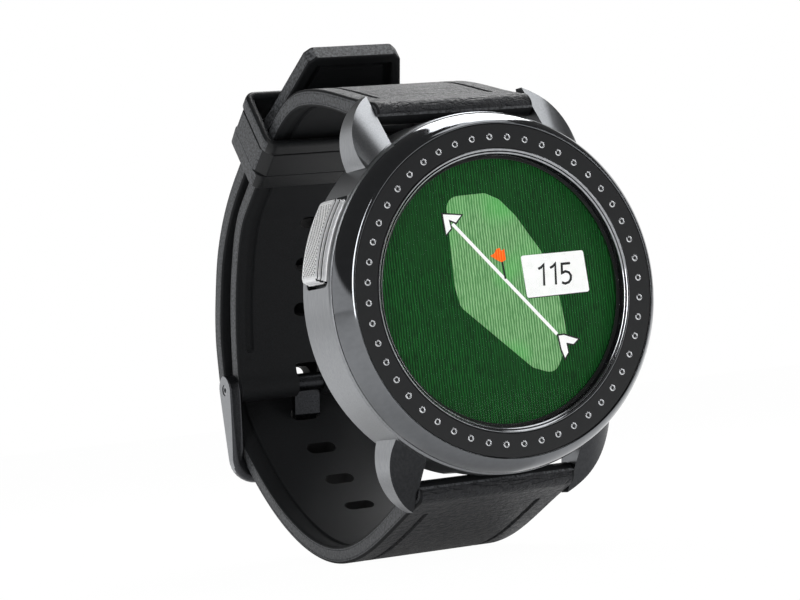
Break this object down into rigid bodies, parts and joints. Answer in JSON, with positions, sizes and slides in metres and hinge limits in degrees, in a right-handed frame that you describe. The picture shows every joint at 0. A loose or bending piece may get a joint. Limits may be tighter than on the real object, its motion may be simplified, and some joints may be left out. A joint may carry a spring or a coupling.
{
  "type": "golf gps watch",
  "caption": "Round golf GPS watch with lugged metal case, studded dial ring, lit display, side button, and rubber strap buckled closed through a sliding keeper.",
  "frame": {"origin": "centre of the case back's flat face, where the watch rests on the wrist", "axes": "+Z towards 12 o'clock, +X towards 3 o'clock, +Y out of the case back towards the wrist, so the dial faces -Y"},
  "size_m": [0.0454, 0.066, 0.0673],
  "materials": {
    "case_metal": "brushed gunmetal",
    "bezel_metal": "polished dark",
    "gasket_rubber": "matte",
    "dial_black": "satin black",
    "stud_metal": "polished",
    "trim_metal": "polished",
    "lens_glass": "clear",
    "display": "lit screen",
    "flex_film": "satin",
    "black_plastic": "matte",
    "board_green": "satin",
    "steel": "satin",
    "can_metal": "satin",
    "chip_black": "matte",
    "connector_cream": "matte",
    "gold_contact": "polished",
    "battery_foil": "satin",
    "pad_foam": "matte",
    "back_plastic": "matte",
    "button_metal": "knurled",
    "strap_rubber": "matte with fine grain",
    "keeper_rubber": "matte",
    "buckle_metal": "satin black"
  },
  "bodies": {
    "watch": {"mid_case": "case_metal", "bezel": "bezel_metal", "bezel_gasket": "gasket_rubber", "dial_ring": "dial_black", "dial_studs": "stud_metal", "trim_ring": "trim_metal", "lens": "lens_glass", "lens_gasket": "gasket_rubber", "display_panel": "display", "display_flex": "flex_film", "chassis": "black_plastic", "main_board": "board_green", "board_screws": "steel", "gps_module": "can_metal", "processor": "chip_black", "display_connector": "connector_cream", "gps_antenna": "gold_contact", "side_switch": "chip_black", "battery": "battery_foil", "battery_pad": "pad_foam", "contact_block": "black_plastic", "contact_plungers": "gold_contact", "charge_pins": "gold_contact", "case_back": "back_plastic", "back_gasket": "gasket_rubber", "back_screws": "steel", "button_spring": "steel", "spring_bar_tubes": "steel", "spring_bar_tips": "steel", "spring_bar_springs": "steel", "strap_buckle_half": "strap_rubber", "strap_holed_half": "strap_rubber"},
    "button": {"button_cap": "button_metal", "button_stem": "steel", "button_o_ring": "gasket_rubber", "button_clip": "steel"},
    "keeper": {"strap_keeper": "keeper_rubber"},
    "buckle": {"buckle_frame": "buckle_metal", "buckle_pin": "steel"},
    "tongue": {"buckle_tongue": "buckle_metal"}
  },
  "joints": [
    {"name": "button_press", "type": "slide", "parent": "watch", "child": "button", "axis": [0.9304, 0, -0.3665], "range_m": [0, 0.0006], "stiffness_N_per_m": 600, "springref_m": -0.0005, "deforming": ["button_spring"]},
    {"name": "keeper_slide", "type": "slide", "parent": "watch", "child": "keeper", "axis": [0, 0.809, -0.5878], "range_m": [0, 0.005]},
    {"name": "buckle_swing", "type": "hinge", "parent": "watch", "child": "buckle", "pos_m": [0, 0.0464, -0.0079], "axis": [1, 0, 0], "range_deg": [0, 3]},
    {"name": "tongue_swing", "type": "hinge", "parent": "buckle", "child": "tongue", "pos_m": [0, 0.0464, -0.0079], "axis": [1, 0, 0], "range_deg": [0, 2]}
  ]
}
